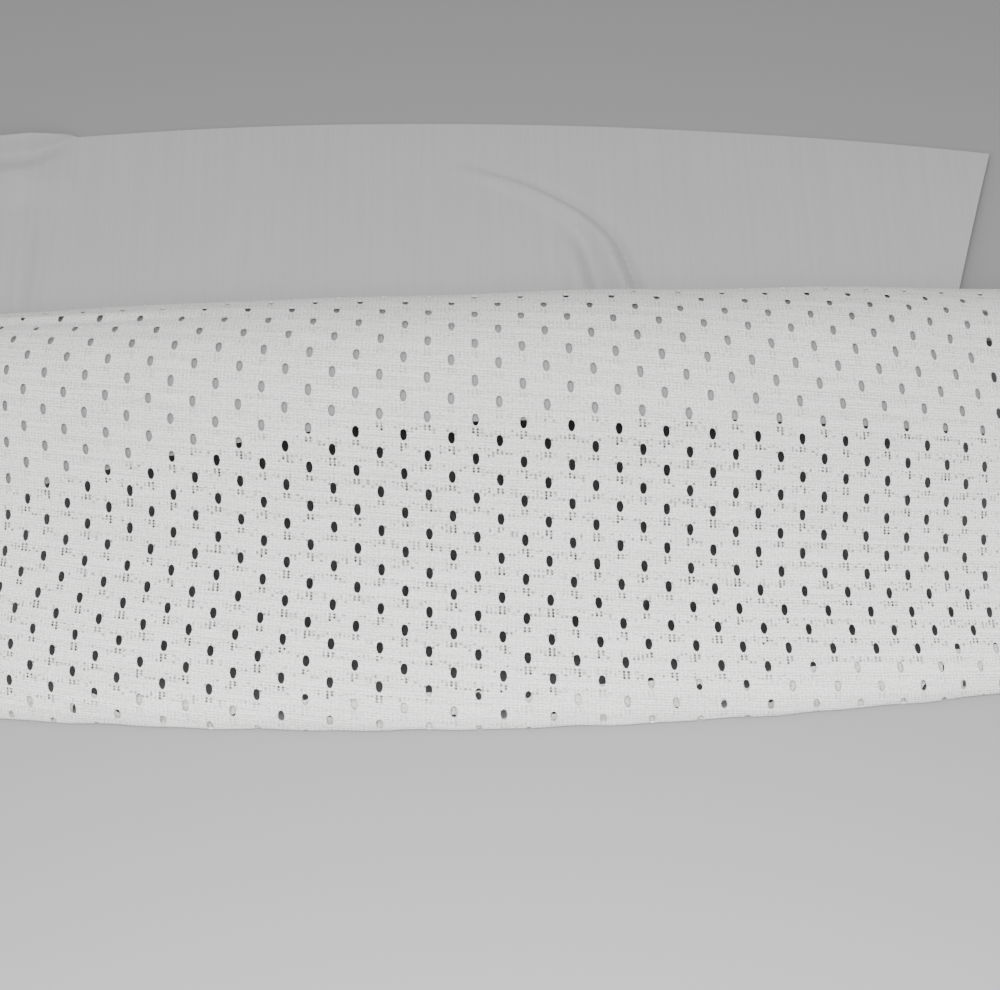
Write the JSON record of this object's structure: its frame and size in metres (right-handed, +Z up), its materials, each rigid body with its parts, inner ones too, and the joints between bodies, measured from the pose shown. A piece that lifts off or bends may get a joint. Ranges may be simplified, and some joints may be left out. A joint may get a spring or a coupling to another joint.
{
  "type": "folded eyelet mesh cloth",
  "caption": "White eyelet sports mesh and the plain ribbed knit panel under it, folded over a soft roll, with a turned-up hem and a lapped, stitched seam.",
  "frame": {"origin": "middle of the footprint, on the surface that the cloth lies on", "axes": "+X along the fold, +Y from the hem to the plain panel's far edge, +Z up"},
  "size_m": [0.3, 0.1856, 0.0472],
  "materials": {
    "mesh_knit": "matte white warp knit with rows of oval eyelets",
    "panel_knit": "smooth white knit with fine ribs, slight sheen",
    "sewing_thread": "white polyester thread"
  },
  "bodies": {
    "root": {"eyelet_mesh": "mesh_knit", "plain_panel": "panel_knit", "seam_thread": "sewing_thread"}
  },
  "joints": []
}
